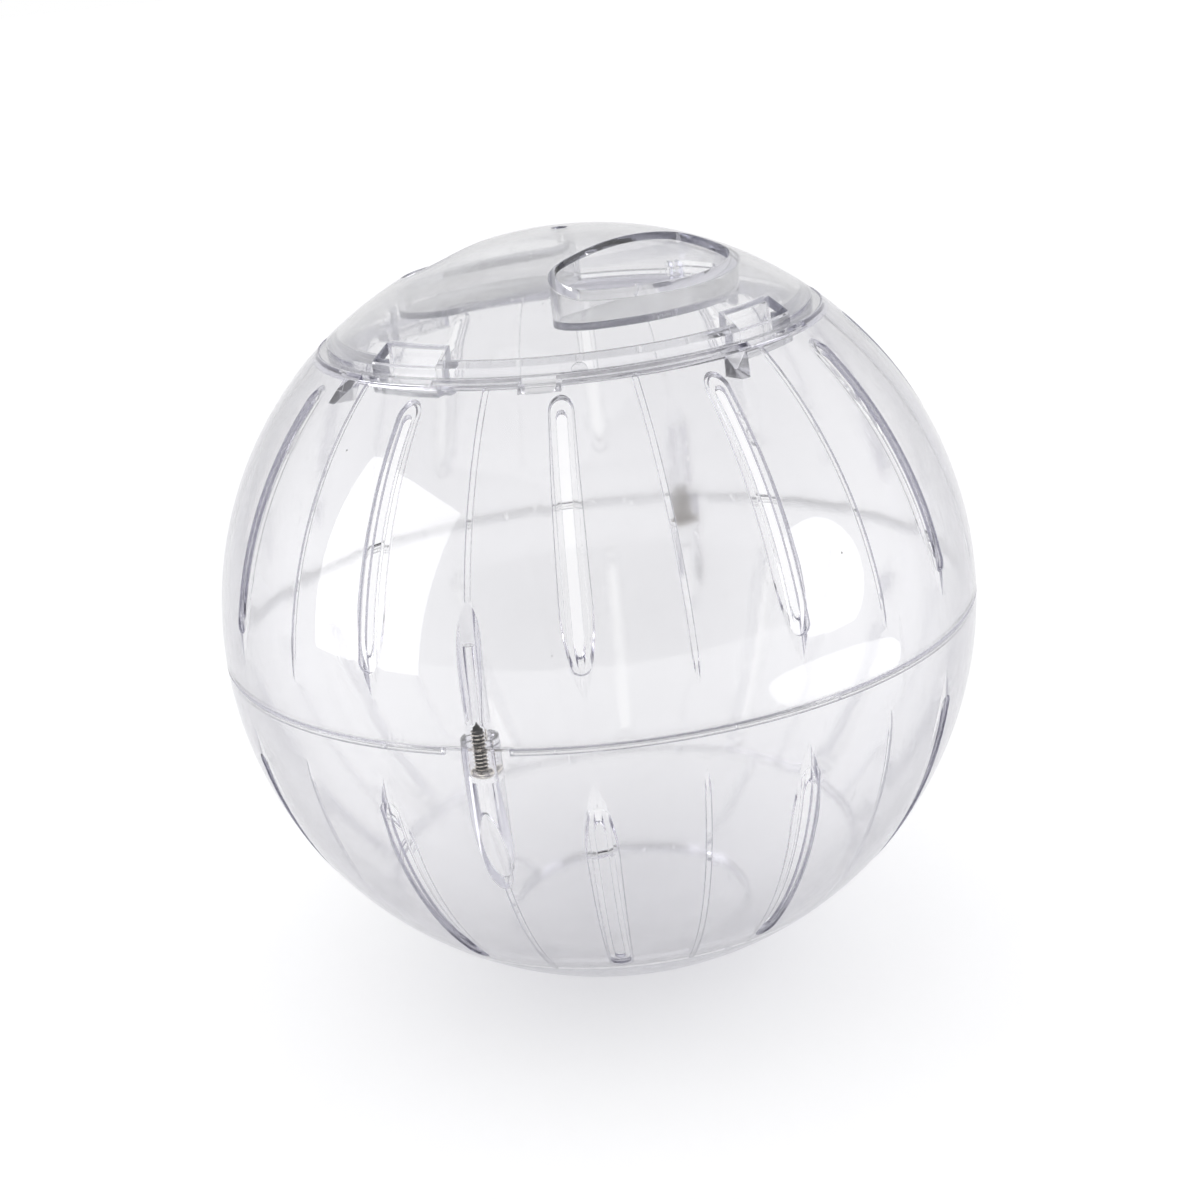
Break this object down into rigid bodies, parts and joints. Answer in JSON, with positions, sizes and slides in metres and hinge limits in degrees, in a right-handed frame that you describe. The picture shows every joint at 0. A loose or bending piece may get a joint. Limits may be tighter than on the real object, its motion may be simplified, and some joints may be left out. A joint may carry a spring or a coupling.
{
  "type": "hamster ball",
  "caption": "Clear hollow exercise ball for a hamster: slotted half shells screwed together at an equator seam, with a round drop-in lid that has finger pockets and locking lugs.",
  "frame": {"origin": "centre of the ball, on the seam plane", "axes": "+Z from the centre through the middle of the lid; -Y towards the camera of the picture"},
  "size_m": [0.18, 0.18, 0.18],
  "materials": {
    "lower_shell": "clear polished moulded polystyrene",
    "upper_shell": "clear polished moulded polystyrene",
    "lid": "clear polished moulded polystyrene",
    "screws": "nickel-plated steel, bright"
  },
  "bodies": {
    "ball": {"lower_shell": "lower_shell", "upper_shell": "upper_shell", "screw_front": "screws", "screw_rear": "screws"},
    "lid": {"lid": "lid"}
  },
  "joints": [
    {"name": "lid_lift", "type": "slide", "parent": "ball", "child": "lid", "axis": [0, 0, 1], "range_m": [0, 0.08]}
  ]
}
